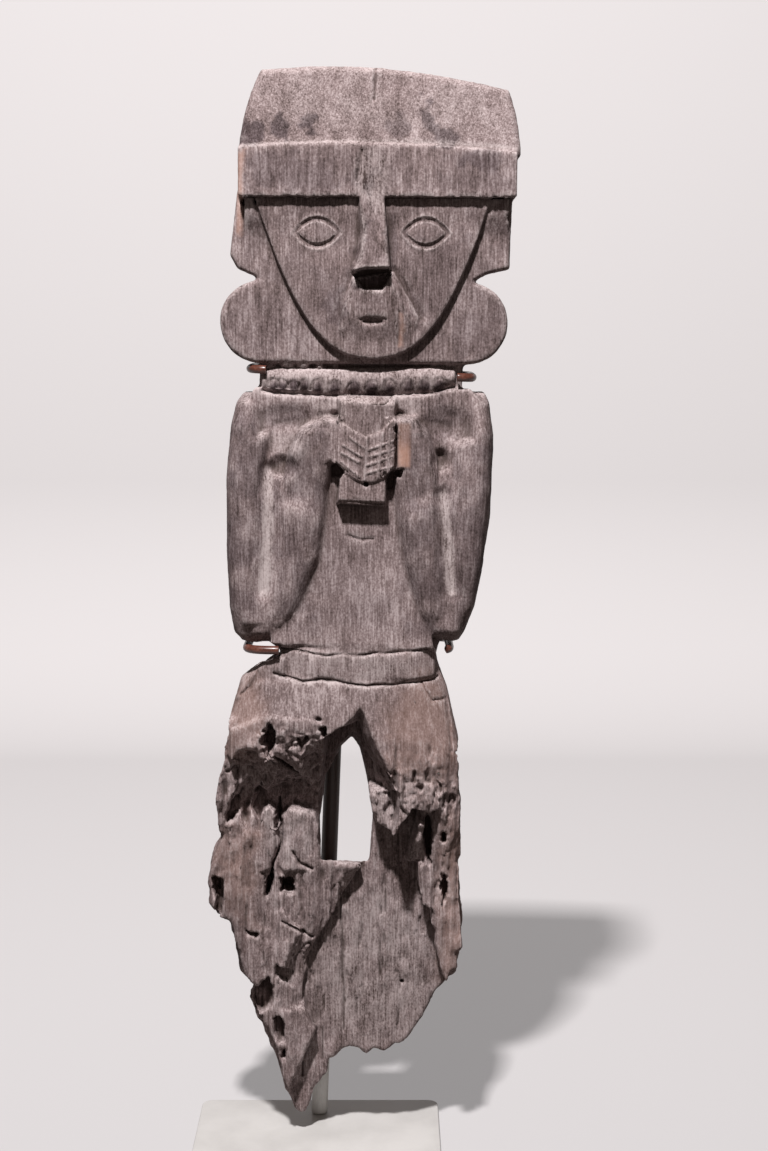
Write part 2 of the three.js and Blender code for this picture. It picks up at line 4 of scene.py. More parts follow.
import bpy
import numpy as np
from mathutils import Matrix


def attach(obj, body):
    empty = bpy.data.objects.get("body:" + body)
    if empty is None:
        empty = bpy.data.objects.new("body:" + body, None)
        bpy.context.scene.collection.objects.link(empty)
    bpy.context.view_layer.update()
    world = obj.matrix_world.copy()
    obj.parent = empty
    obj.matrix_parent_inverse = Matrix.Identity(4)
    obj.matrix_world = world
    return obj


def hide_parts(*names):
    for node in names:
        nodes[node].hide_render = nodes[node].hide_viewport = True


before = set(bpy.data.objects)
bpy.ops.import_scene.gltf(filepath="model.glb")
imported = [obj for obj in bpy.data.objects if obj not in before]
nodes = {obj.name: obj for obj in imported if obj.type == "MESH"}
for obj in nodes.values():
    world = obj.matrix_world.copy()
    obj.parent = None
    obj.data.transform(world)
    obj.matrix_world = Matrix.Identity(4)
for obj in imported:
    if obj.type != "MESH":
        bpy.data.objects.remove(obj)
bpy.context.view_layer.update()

scene = bpy.context.scene
bpy.ops.object.select_all(action="DESELECT")

# Viewpoint: an eye at about the figure's chin, a little to its left, looking slightly down.
# The whole figure is in the frame from the headdress to the foot of the rod.
EYE_PLACE = (0.04883, -1.400, 0.61143)
EYE_PITCH = math.radians(7.7025)
SENSOR = 36.0
FOCAL_IN_PIXELS = 2000.0
FRAME_HEIGHT = 1151
bpy.ops.object.camera_add(location=EYE_PLACE, rotation=(math.pi / 2 - EYE_PITCH, 0, 0))
camera = bpy.context.object
camera.name = "viewpoint"
camera.data.sensor_width = SENSOR
camera.data.lens = FOCAL_IN_PIXELS * SENSOR / FRAME_HEIGHT
scene.camera = camera
scene.view_settings.view_transform = "Standard"

# Studio: a pale seamless sweep that is floor in front and backdrop behind, a soft key light
# high in front and to the left, and an even pale surround that fills the shadows.
FLOOR_HALF = 4.0
BACKDROP_Y = 1.6
BACKDROP_HEIGHT = 3.5
SWEEP_RADIUS = 0.35
bpy.ops.mesh.primitive_plane_add(size=2 * FLOOR_HALF, location=(0, BACKDROP_Y - FLOOR_HALF, 0))
floor = bpy.context.object
floor.name = "floor"
bpy.ops.object.transform_apply(location=True, rotation=True, scale=True)
bpy.ops.object.mode_set(mode="EDIT")
bpy.ops.mesh.select_mode(type="EDGE")
bpy.ops.mesh.select_all(action="DESELECT")
bpy.ops.object.mode_set(mode="OBJECT")
for edge in floor.data.edges:
    ends = [floor.data.vertices[i].co for i in edge.vertices]
    edge.select = all(abs(p.y - BACKDROP_Y) < 1e-4 for p in ends)
bpy.ops.object.mode_set(mode="EDIT")
bpy.ops.mesh.extrude_edges_move(TRANSFORM_OT_translate={"value": (0, 0, BACKDROP_HEIGHT)})
bpy.ops.object.mode_set(mode="OBJECT")
corner = floor.modifiers.new("sweep", "BEVEL")
corner.width = SWEEP_RADIUS
corner.segments = 24
corner.limit_method = "ANGLE"
bpy.ops.object.modifier_apply(modifier="sweep")
bpy.ops.object.shade_smooth()
# The sweep glows faintly, a painted light that lifts its shadows, and is darker towards the front.
pale = bpy.data.materials.new("pale_sweep")
pale.use_nodes = True
pale_shader = pale.node_tree.nodes["Principled BSDF"]
sweep_place = pale.node_tree.nodes.new("ShaderNodeTexCoord")
sweep_axes = pale.node_tree.nodes.new("ShaderNodeSeparateXYZ")
sweep_depth = pale.node_tree.nodes.new("ShaderNodeMapRange")
sweep_tone = pale.node_tree.nodes.new("ShaderNodeValToRGB")
sweep_depth.inputs["From Min"].default_value = -0.2
sweep_depth.inputs["From Max"].default_value = 1.5
sweep_tone.color_ramp.elements[0].color = (0.30, 0.295, 0.298, 1)
sweep_tone.color_ramp.elements[1].color = (0.62, 0.605, 0.61, 1)
pale.node_tree.links.new(sweep_place.outputs["Object"], sweep_axes.inputs["Vector"])
pale.node_tree.links.new(sweep_axes.outputs["Y"], sweep_depth.inputs["Value"])
pale.node_tree.links.new(sweep_depth.outputs["Result"], sweep_tone.inputs["Fac"])
pale.node_tree.links.new(sweep_tone.outputs["Color"], pale_shader.inputs["Base Color"])
pale_shader.inputs["Emission Color"].default_value = (1.0, 0.97, 0.985, 1)
pale_shader.inputs["Emission Strength"].default_value = 0.27
pale_shader.inputs["Roughness"].default_value = 0.9
pale_shader.inputs["Specular IOR Level"].default_value = 0.1
floor.data.materials.append(pale)
floor.visible_diffuse = False

KEY_PLACE = (-0.24, -1.27, 2.56)
bpy.ops.object.light_add(type="AREA", location=KEY_PLACE)
key = bpy.context.object
key.name = "key_light"
key.data.size = 0.14
key.data.energy = 118
key.data.color = (1.0, 0.96, 0.955)
aim = np.array((0.02, 0.0, 0.42)) - np.array(KEY_PLACE)
key_turn = math.atan2(aim[0], -aim[1]) + math.pi
key.rotation_euler = (math.atan2(math.hypot(aim[0], aim[1]), -aim[2]), 0, key_turn)
surround = bpy.data.worlds.new("surround")
surround.use_nodes = True
surround.node_tree.nodes["Background"].inputs["Color"].default_value = (1.0, 0.86, 0.78, 1)
surround.node_tree.nodes["Background"].inputs["Strength"].default_value = 0.12
scene.world = surround

# Carved figure: one thick board of hardwood, carved in front with head, arms, beaker and belt, left flat
# behind. Old and dry: dusty high spots, dark stains, cracks along the grain, and lower legs rotted away.
LEAN = math.radians(2.3)
HEAD_TILT = math.radians(2.0)
AXIS_X = 14.0
FOOT_TOP = 6.0
HEAD_X, HEAD_Z = 2.6, 566.4
CLAY = 0.0011
FINE_CLAY = 0.00105

figure = bpy.data.objects.new("carved_figure", nodes["wooden_figure"].data.copy())
scene.collection.objects.link(figure)
bpy.ops.object.select_all(action="DESELECT")
figure.select_set(True)
bpy.context.view_layer.objects.active = figure
bpy.ops.object.mode_set(mode="EDIT")
bpy.ops.mesh.select_all(action="SELECT")
bpy.ops.mesh.remove_doubles(threshold=1e-6)
bpy.ops.object.mode_set(mode="OBJECT")
clay = figure.modifiers.new("clay", "REMESH")
clay.mode = "VOXEL"
clay.voxel_size = CLAY * 1
bpy.ops.object.modifier_apply(modifier="clay")


def read(items, field, wide, kind=np.float64):
    values = np.empty(len(items) * wide, kind)
    items.foreach_get(field, values)
    return values.reshape(-1, wide)


def places_of(mesh):
    """Vertices in the upright figure's own millimetres: across, forwards and up."""
    x, y, z = (read(mesh.vertices, "co", 3) * 1000).T
    z = z - FOOT_TOP
    across = x * math.cos(LEAN) - z * math.sin(LEAN) - AXIS_X
    up = x * math.sin(LEAN) + z * math.cos(LEAN)
    return np.stack((across, -y, up), axis=1)


def put_places(mesh, places):
    across, forwards, up = places.T
    across = across + AXIS_X
    x = across * math.cos(LEAN) + up * math.sin(LEAN)
    z = up * math.cos(LEAN) - across * math.sin(LEAN) + FOOT_TOP
    mesh.vertices.foreach_set("co", (np.stack((x, -forwards, z), axis=1) / 1000).ravel())
    mesh.update()


def normals_of(mesh):
    x, y, z = read(mesh.vertex_normals, "vector", 3).T
    across = x * math.cos(LEAN) - z * math.sin(LEAN)
    return np.stack((across, -y, x * math.sin(LEAN) + z * math.cos(LEAN)), axis=1)


def head_places(places):
    across, up = places[:, 0] - HEAD_X, places[:, 2] - HEAD_Z
    c, s = math.cos(HEAD_TILT), math.sin(HEAD_TILT)
    return across * c + up * s, up * c - across * s


def soften(values, links, weight, rounds):
    """Moves each value towards the mean of its neighbours, and partly back so that nothing shrinks."""
    a, b = links.T
    count = len(values)
    valence = np.bincount(a, minlength=count) + np.bincount(b, minlength=count)
    for turn in range(rounds):
        step = 0.55 if turn % 2 == 0 else -0.50
        for k in range(values.shape[1]):
            total = np.bincount(a, values[b, k], count) + np.bincount(b, values[a, k], count)
            values[:, k] += step * weight * (total / valence - values[:, k])
    return values


def ramp(low, high, x):
    t = np.clip((x - low) / (high - low), 0, 1)
    return t * t * (3 - 2 * t)


def noise(points, seed):
    """Smooth noise from -1 to 1, one lattice step to a unit."""
    cell = np.floor(points).astype(np.int64)
    part = points - cell
    part = part * part * (3 - 2 * part)
    total = np.zeros(len(points))
    for corner_at in itertools.product((0, 1), repeat=3):
        at = cell + np.array(corner_at)
        mixed = (at[:, 0] * 73856093) ^ (at[:, 1] * 19349663) ^ (at[:, 2] * 83492791) ^ (seed * 2654435761)
        mixed = (mixed ^ (mixed >> 13)) * 1274126177 & 0x7FFFFFFF
        mixed = (mixed ^ (mixed >> 16)) & 0xFFFF
        share = np.prod(np.where(corner_at, part, 1 - part), axis=1)
        total += share * (mixed / 32767.5 - 1)
    return total


def grain(places, wide, long, seed):
    """Noise drawn out along the grain, which runs up the figure."""
    return noise(places / np.array((wide, wide, long)), seed)


def line_gap(x, z, points):
    """Distance of each place from a line through the given points."""
    best = np.full(len(x), 1e9)
    for (x0, z0), (x1, z1) in zip(points, points[1:]):
        run = (x1 - x0, z1 - z0)
        t = np.clip(((x - x0) * run[0] + (z - z0) * run[1]) / (run[0] ** 2 + run[1] ** 2), 0, 1)
        best = np.minimum(best, np.hypot(x - x0 - t * run[0], z - z0 - t * run[1]))
    return best


def inside(x, z, points, soft):
    """1 well inside an outline, 0 well outside it, with a soft edge."""
    within = np.zeros(len(x), bool)
    for (x0, z0), (x1, z1) in zip(points, points[1:] + points[:1]):
        if z0 != z1:
            crosses = (z0 > z) != (z1 > z)
            within ^= crosses & (x < (x1 - x0) * (z - z0) / (z1 - z0) + x0)
    gap = line_gap(x, z, points + points[:1])
    return ramp(-soft, soft, np.where(within, gap, -gap))


def oval(x, z, at, half):
    """Distance from the middle of an oval, 1 at its edge."""
    return np.hypot((x - at[0]) / half[0], (z - at[1]) / half[1])


body = figure.data
places = places_of(body)
u, v = places[:, 0], places[:, 2]
hx, hz = head_places(places)
front = ramp(-24, -17, places[:, 1])


def fill(share, level):
    places[:, 1] += front * share * np.maximum(0, level - places[:, 1])


def carve(share, level):
    places[:, 1] -= front * share * np.maximum(0, places[:, 1] - level)


def level_off(share, level):
    places[:, 1] += front * share * (level - places[:, 1])


# Arms: upper arm and forearm run into each other, with hollows below the shoulders.
WEB_LEFT = [(-80, 371), (-54, 373), (-42, 440), (-40, 500), (-30, 522), (-16, 540), (-72, 536), (-82, 500)]
WEB_RIGHT = [(72, 377), (56, 379), (44, 440), (42, 500), (34, 524), (22, 542), (72, 540), (78, 500)]
web = np.maximum(inside(u, v, WEB_LEFT, 3), inside(u, v, WEB_RIGHT, 3))
fill(web, np.minimum(21 - 9.5 * ramp(462, 522, v), 13 + 0.7 * (v - 372)))
YOKE_LEFT = [(-78, 548), (-15, 550), (-22, 528), (-46, 520), (-74, 514)]
YOKE_RIGHT = [(20, 552), (74, 556), (76, 518), (60, 512), (42, 524), (26, 532)]
yoke = np.maximum(inside(u, v, YOKE_LEFT, 4), inside(u, v, YOKE_RIGHT, 4))
carve(yoke, 12.5)
fill(inside(u, v, [(-42, 500), (-37, 521), (-26, 528), (-12, 526), (-12, 496), (-23, 498)], 2), 27.5)
fill(inside(u, v, [(22, 530), (36, 531), (45, 505), (38, 488), (24, 495)], 2), 28)
wrists = inside(u, v, [(-52, 470), (-34, 546), (40, 548), (52, 476), (24, 462), (-22, 462)], 8)
places[:, 1] -= front * wrists * 0.3 * np.maximum(0, places[:, 1] - 13)

# Belt: a shallow band, nearly flush with the belly above and with the hips below.
belt_fall = 9 * np.abs((u - 2) / 57) ** 4
fill(inside(u, v, [(-51, 374), (-51, 326), (56, 326), (56, 374)], 3), 18.6 - belt_fall)
carve(inside(u, v, [(-70, 366), (-70, 346), (70, 346), (70, 369)], 1.0), 20.2 - belt_fall)
HIP_CORNER = [(-49, 360), (-49, 340), (-84, 326), (-78, 340), (-62, 358)]
fill(inside(u, v, HIP_CORNER, 2), 18 - 0.25 * np.maximum(0, -50 - u))

# Crotch: a funnel that opens forwards round the gap between the legs.
FUNNEL = [(5.1, 331), (0.3, 321), (-13, 306), (-18, 285), (-21, 262), (-18, 249), (15, 250), (24, 262),
          (35, 266), (24, 287), (14, 308), (9.3, 322)]
FUNNEL_RIM = [(-21, 270), (-18, 285), (-13, 306), (0.3, 321), (5.1, 331), (9.3, 322), (14, 308), (24, 287),
              (35, 266)]
carve(inside(u, v, FUNNEL, 1.0), 25.5 - 2.3 * line_gap(u, v, FUNNEL_RIM))

# Underside of the thighs: rotted back in a slope of lumps over the left shin, and to a lobe on the right.
SLOPE_V = [244, 250, 260, 270, 280, 290, 300, 312, 330]
SLOPE_LEFT_D = [-9, -7, -1, 6, 13, 19.5, 23.5, 25.7, 26]
SLOPE_LEFT = [(-86, 306), (-60, 318), (-20, 316), (-18, 300), (-21, 262), (-22, 246), (-26, 243),
              (-32, 247), (-42, 248), (-46.5, 240), (-49, 226), (-51, 240), (-57, 249), (-62, 245),
              (-64, 228), (-67, 240), (-71, 243), (-74, 230), (-79, 243), (-86, 240)]
slope_left = inside(u, v, SLOPE_LEFT, 1.6)
lumps = 8 * noise(places / 12, 41) + 5 * np.abs(noise(places / 7, 42)) - 2
hip_front = 25.5 * np.clip(1 - (np.abs(u + 9) / 87) ** 3, 0.05, 1) ** (1 / 3)
left_underside = np.interp(v + lumps - 3 * ramp(-60, -25, u), SLOPE_V, SLOPE_LEFT_D)
level_off(slope_left, np.minimum(left_underside, hip_front))
fill(inside(u, v, [(-103, 322), (-84, 312), (-82, 262), (-87, 226), (-103, 222)], 4), 13 - 0.16 * (300 - v))
SLOPE_RIGHT_D = [15, 17, 19, 21, 23, 24.5, 25.5, 26, 26]
slope_right = inside(u, v, [(60, 300), (88, 300), (92, 214), (63, 214)], 5)
right_front = np.interp(v, SLOPE_V, SLOPE_RIGHT_D) - 0.25 * np.maximum(0, 246 - v) - 6 * ramp(72, 84, u)
fill(slope_right, np.minimum(right_front, hip_front))
SLIVER = [(50, 245), (54, 242), (55.5, 211), (42, 211)]
LOBE = [(13, 265), (34, 267), (35, 250), (30, 235), (21, 239), (15, 247)]
level_off(inside(u, v, LOBE, 1.5), 11 + 2.0 * noise(places / 5, 43))
level_off(inside(u, v, SLIVER, 1.2), 20 - 0.5 * (246 - v))

# Torn edge of the thick layer that ends across the shin: its last stretch slopes down to the thin board.
TORN_EDGE = [(10.9, 200.6), (2.8, 185.3), (-5.7, 159.5), (-16.1, 144.0), (-24.4, 132.4), (-25.2, 114.2),
             (-26.9, 98.9)]
on_slope = inside(u, v, TORN_EDGE + [(-53, 95), (-15, 205)], 3)
carve(on_slope, -7.5 + 0.45 * line_gap(u, v, TORN_EDGE))

put_places(body, places)
again = figure.modifiers.new("again", "REMESH")
again.mode = "VOXEL"
again.voxel_size = FINE_CLAY
bpy.ops.object.modifier_apply(modifier="again")
body = figure.data
links = read(body.edges, "vertices", 2, np.int32)
places = places_of(body)
hx, hz = head_places(places)

# The arms are worn smooth and the legs are blunted by weather; the head keeps its edges.
on_head = ramp(-2, 3, hz)
worn = ramp(312, 285, places[:, 2])
arms = ramp(372, 384, places[:, 2]) * ramp(552, 542, places[:, 2])
softness = 0.2 * on_head + 0.95 * arms + 0.3 * worn + 0.5 * (1 - on_head) * (1 - arms) * (1 - worn)
softness = np.clip(np.maximum(softness, 0.9 * ramp(-20, -30, places[:, 1])), 0, 0.95)
places = soften(places, links, softness, 36)
put_places(body, places)
u, v = places[:, 0], places[:, 2]
hx, hz = head_places(places)
front = ramp(-24, -17, places[:, 1])
facing = ramp(0.1, 0.6, normals_of(body)[:, 1])
rag_u = u + 2.2 * grain(places, 5, 16, 3) + 1.0 * noise(places / 2.5, 4)
rag_v = v + 6.0 * grain(places, 3.5, 30, 5) + 1.2 * noise(places / 3.0, 6)
rise = np.zeros(len(places))

# Arms and chest: one narrow groove down each arm, a pit in each armpit.
GROOVE_LEFT = [(-65, 490), (-64, 470), (-65, 438), (-66.8, 406)]
GROOVE_RIGHT = [(56.7, 478), (59.8, 453), (63.7, 429), (66, 411)]
for groove in (GROOVE_LEFT, GROOVE_RIGHT):
    rise -= 3.6 * np.clip(1 - line_gap(u + 0.8 * noise(places / 6, 7), v, groove) / 8.0, 0, 1)
HOLLOWS = [((-50, 527), (24, 9), 2.5), ((-55, 493), (10, 8), 5), ((60, 528), (17, 11), 2.5),
           ((54, 502), (7, 8), 5.5)]
for at, half, deep in HOLLOWS:
    rise -= deep * ramp(1.3, 0.25, oval(u, v, at, half))

# Bead collar: one thick roll with a row of beads sunk into its lower half.
COLLAR = [(-73, 552), (-45, 552.5), (-24, 552.3), (-4, 553.5), (24, 555), (48, 557), (62, 559.5)]
COLLAR_HALF = 9.8
BEADS_U = [-63.4, -57.2, -50, -42.2, -33.2, -21.3, -8, 4.2, 16.6, 29.5, 40.8, 51.1]
collar_u, collar_v = np.array(COLLAR).T
collar_half = COLLAR_HALF - 3 * ramp(44, 62, u) - 2 * ramp(-60, -73, u)
across_collar = (v - np.interp(u, collar_u, collar_v)) / collar_half
roll = np.sqrt(np.clip(1 - across_collar ** 2, 0, 1))
on_collar = inside(u, across_collar * 9, [(-72, -8.8), (-72, 8.8), (61.5, 8.8), (61.5, -8.8)], 0.8)
level_off(on_collar, 6.5 + 8.0 * roll - 3.5 * np.abs((u + 5) / 67) ** 6 + 0.8 * noise(places / 6, 17))
for at in BEADS_U:
    from_bead = np.hypot((u - at) / 5.0, (across_collar + 0.42) / 0.62) + 0.22 * noise(places / 3.5, 10)
    rise += on_collar * (1.4 * ramp(0.9, 0.1, from_bead) - 1.3 * ramp(1.25, 0.7, from_bead))

# Beaker, and the two hands that meet in front of it: fingers cut slantwise on one, crossed on the other.
BEAKER = [(-19, 546), (24.5, 547), (22, 530), (12, 520), (1, 515), (-17, 523)]
HANDS = [(-24, 526), (-14, 525), (-9, 521.7), (1.5, 516.7), (12, 521.2), (16, 525.5), (21, 529.8),
         (22.6, 496.2), (20, 493.3), (14.6, 488), (8.5, 485.3), (1.6, 484.3), (-6, 488.2), (-13.2, 493.4),
         (-21, 498)]
FACET = [(22.6, 528.5), (33, 529), (34, 496), (24, 495.6)]
CUP_FOOT = [(-15, 484), (-11.6, 488.4), (-6.8, 487.3), (1.6, 483.4), (16, 485.4), (17.1, 470.2),
            (10.5, 469.6), (0, 470.9), (-9.6, 471.2), (-16.4, 468.5)]
POCKETS = [
    [(-22, 495), (-17.7, 497.4), (-12.8, 492.3), (-14.8, 487), (-21, 487)],
    [(17, 486.5), (20, 491), (23.4, 494), (28, 495), (26.5, 490), (23.4, 488.5), (22, 481), (20, 479),
     (18, 480)],
]
RIDGES = [
    [(-9.6, 516), (1.2, 509)],
    [(-13.6, 510.4), (-0.7, 503.2)],
    [(-15, 505.4), (-2, 498.9)],
    [(-14.6, 499), (-1.6, 489)],
    [(4.3, 508.3), (22, 515.3)],
    [(5.2, 503.4), (21, 509)],
    [(3.7, 497.4), (22.4, 504.8)],
    [(2.5, 491.7), (20, 497)],
    [(2.6, 516), (1.6, 487)],
    [(12.6, 520), (11.8, 506), (11, 489)],
    [(18, 523), (17.8, 492)],
]
on_beaker = inside(u, v, BEAKER, 0.8) * ramp(13, 17, places[:, 1])
level_off(on_beaker, 25.0 + 0.05 * (v - 530) - 0.014 * (u - 3) ** 2 - 1.3 * np.maximum(0, v - 539.5))
level_off(inside(u, v, FACET, 0.8), 24.6 - 0.05 * (u - 22))
level_off(inside(u, v, HANDS, 0.9), 26.4 - 0.004 * (u - 2) ** 2)
level_off(inside(u, v, CUP_FOOT, 0.7), 25.0 - 0.06 * (v - 470) - 1.4 * np.maximum(0, 472.6 - v))
for pocket in POCKETS:
    carve(inside(u, v, pocket, 1.0), 10)
hands = inside(u, v, HANDS, 1.0)
on_ridge = np.zeros(len(places))
for ridge in RIDGES:
    on_ridge = np.maximum(on_ridge, ramp(1.5, 0.3, line_gap(u, v, ridge)))
rise += hands * (1.0 * on_ridge - 0.5)
rise -= 5 * ramp(1.2, 0.3, line_gap(u, v, [(22.6, 524), (23.2, 510), (23.6, 496)]))

# Face: a raised rim on both sides of the groove round each eye, creases beside the muzzle, a slit mouth,
# a hollow under the nose and a ragged edge under the band.
EYE_X, EYE_Z = 37.0, 89.0
EYE_RIMS = ((17.5, 11.5), (13.0, 7.0))


def eye_reach(side, half_wide, half_tall):
    """Distance from the middle of an almond-shaped eye, 1 on its rim."""
    ex, ez = hx - (side * EYE_X + 0.5), hz - EYE_Z
    return np.abs(ez) / half_tall + (ex / half_wide) ** 2


def on_eye_rims(soft, past):
    """1 on the rims of both eyes, with a soft edge, and 0 further past their corners than allowed."""
    held = np.zeros(len(hx))
    for side in (-1, 1):
        ex = hx - (side * EYE_X + 0.5)
        for half_wide, half_tall in EYE_RIMS:
            rim = ramp(soft, 0.0, np.abs(eye_reach(side, half_wide, half_tall) - 1))
            held = np.maximum(held, rim * (np.abs(ex) < half_wide + past))
    return held


rise += 0.8 * on_eye_rims(0.16, 2)
for side in (-1, 1):
    reach_out, reach_in = [eye_reach(side, *rim) for rim in EYE_RIMS]
    rise += 0.3 * ramp(1.0, 0.9, reach_out) * ramp(1.0, 1.1, reach_in)
MUZZLE = [(-12, 58), (-22.5, 28), (-17, 10), (26, 10), (33.5, 32), (16, 63)]
rise += 2.6 * inside(hx, hz, MUZZLE, 0.8) * ramp(14, 38, hz) * ramp(72, 60, hz)
for crease in ([(-13, 59), (-18, 44), (-22, 29)], [(16.5, 62), (25, 47), (34, 32)]):
    rise -= 2.2 * np.clip(1 - line_gap(hx, hz, crease) / 5, 0, 1)
MOUTH = [(-8.5, 30.6), (-5, 31.8), (2, 32.3), (9, 31.8), (12, 30.4), (8, 27.6), (2, 26.5), (-4, 27.4)]
carve(inside(hx, hz + 0.4 * grain(places, 1.5, 6, 2), MOUTH, 0.5), 19.8)
carve(ramp(1.1, 0.6, oval(hx, hz, (-83, 109), (6, 4))), 4)
NOSE_Z, NOSE_HALF = [55, 63, 68, 76, 90, 112], [13.5, 13, 10.5, 8.2, 7.0, 8.5]
nose_half = np.interp(hz, NOSE_Z, NOSE_HALF)
nose_x = hx - np.interp(hz, [60, 70, 90, 112], [0.8, 2.2, 3.2, 2.5])
beside_nose = (np.abs(nose_x) < 17) & (hz > 50) & (hz < 111)
nose_slope = ramp(nose_half + 4.5, nose_half - 0.5, np.abs(nose_x))
carve(beside_nose * ramp(nose_half - 1, nose_half, np.abs(nose_x)), 19.5 + 12 * nose_slope)
NOSE_HOLLOW = [(-12.3, 61), (-8, 63.5), (-2.6, 64.5), (12.5, 64.8), (13.8, 60.5), (8.4, 51), (-4.7, 50.5)]
carve(inside(hx + 0.5 * noise(places / 2, 19), hz, NOSE_HOLLOW, 0.8), 15)
under_brow = ((np.abs(hx - 4) < 92) & (np.abs(hx - 0.8) > 9)) * ramp(14, 22, places[:, 1] + 8 * (hz < 113))
ragged_brow = 112.6 + 0.9 * grain(places, 2.5, 9, 9)
outside_face = ramp(-2, 2, np.abs(hx - 1.5) - 80.5 * np.clip((hz - 3.7) / 106, 0, 1) ** 0.41)
fill(outside_face * ramp(86, 106, hz) * (hz < 112) * (np.abs(hx - 4) < 90), 19.5)
fill(under_brow * (1 - outside_face) * ramp(92, 110, hz) * (hz < 112), 20.8)
carve(under_brow * ramp(0.6, -0.6, hz - ragged_brow) * ramp(96, 108, hz), 20.8)
level_off(under_brow * ramp(-0.4, 0.8, hz - ragged_brow) * ramp(119, 116, hz), 25.4)

# Lines cut across the waist and cracks that run with the grain.
BELT_LINES = [
    ([(-52, 366), (-35, 363.8), (-20, 362), (-2, 363.4), (20, 365), (51, 369)], 3.0),
    ([(-57, 347.6), (-47, 345.4), (-36, 342.8), (-23, 345.3), (-10, 344), (2, 342.7), (10, 341.6),
      (26, 343.2), (47, 345.2), (59, 348)], 3.2),
]
CRACKS = [
    ([(-1, 769), (-1, 757), (-2, 744)], 2.4),
    ([(-9, 710), (-10, 700), (-11, 689)], 1.6),
    ([(-5, 192), (-1, 139), (3, 78)], 1.6),
    ([(-50.6, 253), (-50, 238), (-48, 221), (-53, 205), (-56, 190)], 8.0),
    ([(-54.3, 288), (-47, 282), (-38, 275.6)], 6.0),
    ([(-22, 311), (-18, 306), (-16, 300)], 2.5),
    ([(-45.4, 164), (-35, 158.6), (-23.3, 151.6)], 3.0),
    ([(-39, 216), (-34, 207.5), (-25, 203.4)], 2.5),
    ([(-27.2, 53), (-27, 43)], 4.0),
    ([(-9, 447), (-3, 445.2), (1.7, 444), (10, 445)], 1.2),
    ([(-68, 348), (-72.5, 336.7), (-80, 330)], 1.2),
    ([(47, 345), (55, 332), (65.5, 333), (67, 326), (71, 296)], 1.5),
    ([(21, 603), (22, 590), (21.5, 580)], 1.2),
]
for path, deep in BELT_LINES:
    waver = v + 0.7 * noise(places / 7, 8)
    rise -= deep * (0.65 + 0.5 * noise(places / 9, 20)) * ramp(1.2, 0.2, line_gap(u, waver, path))
for path, deep in CRACKS:
    rise -= deep * ramp(1.5, 0.2, line_gap(u + 0.8 * grain(places, 3, 9, 8), v, path))

# Rot in the legs: holes and slots down to a depth, then torn layers.
HOLES = [
    ((-58.5, 299), (4.2, 12), 6),
    ((-20, 307), (3, 6), 17),
    ((-34, 299), (3, 5), 17),
    ((57.5, 230), (3.2, 15), -9),
    ((68.4, 235), (3, 4.5), 2),
    ((70, 192), (1.9, 13), -4),
    ((43.3, 118), (1.2, 1.2), -17),
    ((4, 479), (1.3, 2.2), 19),
    ((-83, 244), (4, 10), -8),
    ((-64, 252), (4, 12), -9),
]
for at, half, floor_level in HOLES:
    carve(ramp(1.2, 0.7, oval(rag_u, rag_v, at, half)), floor_level)
TORN = [
    ([(-49, 131.4), (-38.7, 127.3), (-27.5, 118), (-27.3, 110.5), (-35.7, 113.9), (-48.7, 120.9)], -4),
    ([(-53.6, 121), (-60, 115), (-66, 109), (-72, 102), (-66, 94), (-57, 94), (-52, 98), (-50, 102),
      (-51, 114)], -9),
    ([(-49, 90), (-44, 91), (-41, 85), (-41, 72), (-45, 71), (-48, 79)], -7),
    ([(-53.6, 201), (-52.6, 193), (-56.2, 179.5), (-58.4, 182.4), (-57.3, 193)], -18),
    ([(-48, 196), (-42, 193), (-36.6, 187), (-38.3, 184), (-46.6, 185)], -18),
    ([(-97, 193), (-90, 191.6), (-88, 177), (-89.7, 165), (-94.7, 163), (-93.7, 176.5)], -10),
    ([(-72, 156), (-62, 152.5), (-63, 150), (-71, 152)], -4),
    ([(-36, 32), (-29, 26), (-22, 20), (-30, 15)], -9),
]
for points, floor_level in TORN:
    torn_u = u + 0.7 * noise(places / 3, 29)
    torn_v = v + 1.5 * grain(places, 2.5, 20, 30)
    carve(inside(torn_u, torn_v, points, 0.7), floor_level)
RIBS = [
    ([(-61, 200), (-62.5, 243), (-57, 249), (-51.7, 243.7), (-51, 201)], -56.5, 3.0),
    ([(-46.7, 201), (-48, 239), (-42.5, 247), (-31.7, 246), (-26, 240), (-24.4, 202)], -37, 4.0),
]
for points, middle, level in RIBS:
    fill(inside(rag_u, v, points, 1.2), level - 0.03 * (u - middle) ** 2)
crumbly = inside(u, v, [(20, 288), (50, 286), (76, 276), (78, 246), (50, 246), (28, 252)], 6)
pitted = ramp(0.1, 0.45, grain(places, 4.5, 9, 44))
rise += crumbly * (2.2 * grain(places, 4, 13, 45) + 1.1 * noise(places / 2.2, 48) - 3.2 * pitted)
lumpy = inside(u, v, [(-70, 306), (-50, 312), (-22, 306), (-20, 262), (-80, 262)], 6)
humps = 3.4 * (0.3 - np.abs(noise(places / 10, 46)))
rise += lumpy * (humps + 1.6 * grain(places, 3, 9, 47) + 0.8 * noise(places / 2, 49))
layers = np.floor(2.6 * (0.5 + 0.5 * grain(places, 8, 95, 11)) + 0.5 * grain(places, 3, 45, 12)) - 1
splits = ramp(0.08, 0.0, np.abs(grain(places, 5.5, 80, 13))) * ramp(0.1, 0.6, grain(places, 14, 50, 16))
shin = worn * ramp(-9, -3, places[:, 1])
broad_ribs = 3.4 * (0.4 - np.abs(grain(places, 8, 90, 27)))
fine_ribs = 1.6 * (0.4 - np.abs(grain(places, 3.2, 50, 28)))
rise += shin * (broad_ribs + fine_ribs)
threads = 1.0 * (0.4 - np.abs(grain(places, 3.5, 70, 18)))
rise += worn * (0.7 * layers - 2.0 * splits + 0.7 * noise(places / 9, 15) + threads)
places[:, 1] += facing * rise
